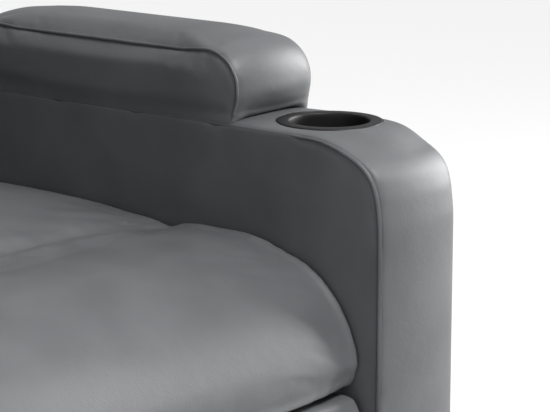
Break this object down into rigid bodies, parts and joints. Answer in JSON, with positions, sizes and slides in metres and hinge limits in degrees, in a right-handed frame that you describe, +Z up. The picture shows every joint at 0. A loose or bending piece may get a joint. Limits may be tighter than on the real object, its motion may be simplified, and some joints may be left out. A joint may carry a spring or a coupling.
{
  "type": "massage recliner",
  "caption": "Upholstered massage recliner with padded arms, cup holders, a lever-driven folding footrest, a reclining back and a wired-style handset in a side pocket.",
  "frame": {"origin": "on the floor, below the middle of the chair at rest", "axes": "+Z up; the sitter faces -Y; +X is the sitter's left"},
  "size_m": [0.834, 0.9001, 1.0199],
  "materials": {
    "faux_leather": "soft dark grey faux leather",
    "padded_leather": "soft dark grey faux leather sewn over foam",
    "timber": "sawn softwood and plywood",
    "black_steel": "satin black paint",
    "zinc_steel": "zinc plated",
    "black_plastic": "satin moulded",
    "rotor_steel": "turned",
    "button_rubber": "soft matt"
  },
  "bodies": {
    "frame": {"left_arm_frame": "timber", "right_arm_frame": "timber", "left_arm_cover": "padded_leather", "right_arm_cover": "padded_leather", "left_arm_pad": "padded_leather", "right_arm_pad": "padded_leather", "left_cup_holder": "black_plastic", "right_cup_holder": "black_plastic", "feet": "black_plastic", "foot_screws": "zinc_steel", "left_side_plate": "black_steel", "right_side_plate": "black_steel", "frame_bolts": "zinc_steel", "seat_cross_tubes": "black_steel", "seat_frame": "timber", "seat_springs": "zinc_steel", "seat_cushion": "padded_leather", "rear_rail": "timber", "control_box": "black_plastic", "side_pocket": "faux_leather", "lever_bezel": "black_plastic", "follower_pivot_pins": "zinc_steel", "back_pivot_pins": "zinc_steel"},
    "drive": {"drive_shaft": "zinc_steel", "left_drive_link": "black_steel", "right_drive_link": "black_steel", "recline_lever": "black_plastic", "drive_link_pins": "zinc_steel"},
    "follower": {"left_follower_link": "black_steel", "right_follower_link": "black_steel"},
    "carrier": {"left_carrier_link": "black_steel", "right_carrier_link": "black_steel", "carrier_pins": "zinc_steel"},
    "tilt": {"left_tilt_link": "black_steel", "right_tilt_link": "black_steel"},
    "footrest": {"left_footrest_bracket": "black_steel", "right_footrest_bracket": "black_steel", "footrest_board": "timber", "footrest_cushion": "padded_leather", "footrest_pins": "zinc_steel", "footrest_screws": "zinc_steel"},
    "backrest": {"left_back_bracket": "black_steel", "right_back_bracket": "black_steel", "back_frame": "timber", "back_screws": "zinc_steel", "back_springs": "zinc_steel", "lumbar_cushion": "padded_leather", "upper_back_cushion": "padded_leather", "head_cushion": "padded_leather", "back_cover": "padded_leather", "motor_housings": "black_plastic"},
    "handset": {"handset_front": "black_plastic", "handset_back": "black_plastic"},
    "lumbar_left_rotor": {"lumbar_left_rotor": "rotor_steel"},
    "lumbar_right_rotor": {"lumbar_right_rotor": "rotor_steel"},
    "shoulder_left_rotor": {"shoulder_left_rotor": "rotor_steel"},
    "shoulder_right_rotor": {"shoulder_right_rotor": "rotor_steel"},
    "power_button": {"power_button": "button_rubber"},
    "mode_button": {"mode_button": "button_rubber"},
    "heat_button": {"heat_button": "button_rubber"}
  },
  "joints": [
    {"name": "footrest_extend", "type": "hinge", "parent": "frame", "child": "drive", "pos_m": [0, -0.22, 0.335], "axis": [-1, 0, 0], "range_deg": [0, 80]},
    {"name": "follower_turn", "type": "hinge", "parent": "frame", "child": "follower", "pos_m": [0, -0.15876, 0.3011], "axis": [-1, 0, 0], "range_deg": [0, 82]},
    {"name": "carrier_turn", "type": "hinge", "parent": "drive", "child": "carrier", "pos_m": [0, -0.16047, 0.11284], "axis": [-1, 0, 0], "range_deg": [-82, 0]},
    {"name": "tilt_turn", "type": "hinge", "parent": "drive", "child": "tilt", "pos_m": [0, -0.14883, 0.06937], "axis": [-1, 0, 0], "range_deg": [-82, 0]},
    {"name": "footrest_tilt", "type": "hinge", "parent": "carrier", "child": "footrest", "pos_m": [0, -0.345, 0.215], "axis": [-1, 0, 0], "range_deg": [0, 82]},
    {"name": "back_recline", "type": "hinge", "parent": "frame", "child": "backrest", "pos_m": [0, 0.2, 0.33], "axis": [-1, 0, 0], "range_deg": [0, 38]},
    {"name": "handset_lift", "type": "slide", "parent": "frame", "child": "handset", "axis": [0, 0, 1], "range_m": [0, 0.2]},
    {"name": "lumbar_left_spin", "type": "hinge", "parent": "backrest", "child": "lumbar_left_rotor", "pos_m": [0.11, 0.2807, 0.48437], "axis": [1, 0, 0], "continuous": true},
    {"name": "lumbar_right_spin", "type": "hinge", "parent": "backrest", "child": "lumbar_right_rotor", "pos_m": [-0.11, 0.2807, 0.48437], "axis": [1, 0, 0], "continuous": true},
    {"name": "shoulder_left_spin", "type": "hinge", "parent": "backrest", "child": "shoulder_left_rotor", "pos_m": [0.11, 0.34282, 0.71619], "axis": [1, 0, 0], "continuous": true},
    {"name": "shoulder_right_spin", "type": "hinge", "parent": "backrest", "child": "shoulder_right_rotor", "pos_m": [-0.11, 0.34282, 0.71619], "axis": [1, 0, 0], "continuous": true},
    {"name": "power_press", "type": "slide", "parent": "handset", "child": "power_button", "axis": [-1, 0, 0], "range_m": [0, 0.0012], "stiffness_N_per_m": 900},
    {"name": "mode_press", "type": "slide", "parent": "handset", "child": "mode_button", "axis": [-1, 0, 0], "range_m": [0, 0.0012], "stiffness_N_per_m": 900},
    {"name": "heat_press", "type": "slide", "parent": "handset", "child": "heat_button", "axis": [-1, 0, 0], "range_m": [0, 0.0012], "stiffness_N_per_m": 900}
  ],
  "couplings": [
    {"joint": "follower_turn", "follows": "footrest_extend", "ratio": 1},
    {"joint": "carrier_turn", "follows": "footrest_extend", "ratio": -1},
    {"joint": "tilt_turn", "follows": "footrest_extend", "ratio": -1},
    {"joint": "footrest_tilt", "follows": "footrest_extend", "ratio": 1}
  ]
}
